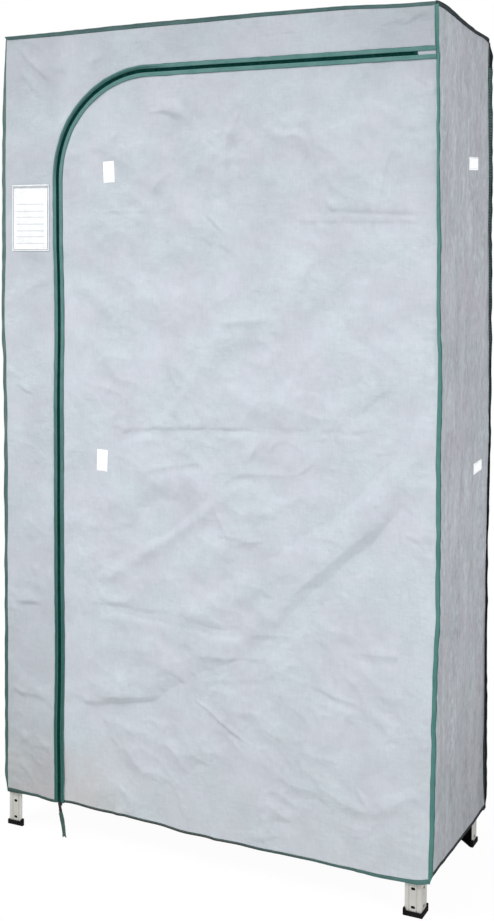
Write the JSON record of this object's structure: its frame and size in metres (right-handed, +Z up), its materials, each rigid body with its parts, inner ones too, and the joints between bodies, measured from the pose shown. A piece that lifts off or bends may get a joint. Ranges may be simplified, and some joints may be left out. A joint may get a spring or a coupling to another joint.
{
  "type": "portable fabric wardrobe",
  "caption": "Tall zip-up fabric wardrobe cover with green bindings over a bolted perforated-angle steel frame with shelves, a hanging rail and plastic feet.",
  "frame": {"origin": "on the floor, under the middle of the wardrobe", "axes": "+X to the right of someone facing the door, +Y away from them into the wardrobe, +Z up; the door is at -Y"},
  "size_m": [1.041, 0.4212, 1.812],
  "materials": {
    "steel": "satin cream-grey paint",
    "zinc": "bright zinc plate",
    "chrome": "polished",
    "black_plastic": "moulded, slightly textured",
    "slider_metal": "black enamel",
    "cover_cloth": "light grey woven cloth",
    "binding": "green folded tape, stitched",
    "zip_coil": "dark green nylon coil",
    "ribbon": "green ribbon",
    "hook_loop": "white hook and loop tape",
    "clear_film": "clear vinyl",
    "card": "white card with grey rules"
  },
  "bodies": {
    "frame": {"post_front_left": "steel", "foot_front_left": "black_plastic", "post_front_right": "steel", "foot_front_right": "black_plastic", "post_back_left": "steel", "foot_back_left": "black_plastic", "post_back_right": "steel", "foot_back_right": "black_plastic", "shelf_bottom": "steel", "shelf_top": "steel", "rail_bar_left": "steel", "rail_socket_left": "zinc", "shelf_bolt_bottom_front_left": "zinc", "shelf_bolt_top_front_left": "zinc", "rail_bolt_front_left": "zinc", "rail_screw_front_left": "zinc", "shelf_bolt_bottom_back_left": "zinc", "shelf_bolt_top_back_left": "zinc", "rail_bolt_back_left": "zinc", "rail_screw_back_left": "zinc", "rail_bar_right": "steel", "rail_socket_right": "zinc", "shelf_bolt_bottom_front_right": "zinc", "shelf_bolt_top_front_right": "zinc", "rail_bolt_front_right": "zinc", "rail_screw_front_right": "zinc", "shelf_bolt_bottom_back_right": "zinc", "shelf_bolt_top_back_right": "zinc", "rail_bolt_back_right": "zinc", "rail_screw_back_right": "zinc", "hanging_rail": "chrome"},
    "cover": {"cover_back_panel": "cover_cloth", "cover_left_panel": "cover_cloth", "cover_right_panel": "cover_cloth", "cover_top_panel": "cover_cloth", "cover_front_surround": "cover_cloth", "binding_top": "binding", "binding_front_left": "binding", "binding_front_right_upper": "binding", "binding_back_left": "binding", "binding_back_right": "binding", "hem_binding": "binding", "zip_tape_fixed": "binding", "zip_chain_fixed": "zip_coil", "zip_stop_top": "zip_coil", "side_fastener_upper": "hook_loop", "side_fastener_lower": "hook_loop", "label_pocket": "clear_film"},
    "door": {"door_panel": "cover_cloth", "zip_tape_door": "binding", "zip_chain_door": "zip_coil", "door_hem_binding": "binding", "door_fastener_upper": "hook_loop", "door_fastener_lower": "hook_loop"},
    "hinge_seam": {"hinge_binding": "binding"},
    "card": {"label_card": "card"},
    "zip_slider": {"zip_slider_body": "slider_metal"},
    "zip_pull": {"zip_pull_tab": "slider_metal", "pull_ribbon": "ribbon"}
  },
  "joints": [
    {"name": "cover_lift", "type": "slide", "parent": "frame", "child": "cover", "axis": [0, 0, 1], "range_m": [0, 1.75]},
    {"name": "seam_fold", "type": "hinge", "parent": "cover", "child": "hinge_seam", "pos_m": [0.511, -0.207, 0.9], "axis": [0, 0, 1], "range_deg": [0, 88.5]},
    {"name": "door_swing", "type": "hinge", "parent": "hinge_seam", "child": "door", "pos_m": [0.511, -0.207, 0.9], "axis": [0, 0, 1], "range_deg": [0, 176.5]},
    {"name": "zip_travel", "type": "slide", "parent": "cover", "child": "zip_slider", "axis": [-0.0089, 0, 1], "range_m": [0, 1.36]},
    {"name": "pull_swing", "type": "hinge", "parent": "zip_slider", "child": "zip_pull", "pos_m": [-0.35203, -0.209, 0.08], "axis": [-1, 0, -0.0089], "range_deg": [0, 160]},
    {"name": "card_slide", "type": "slide", "parent": "cover", "child": "card", "axis": [0, 0, 1], "range_m": [0, 0.15]}
  ],
  "couplings": [
    {"joint": "seam_fold", "follows": "door_swing", "ratio": 0.5}
  ]
}
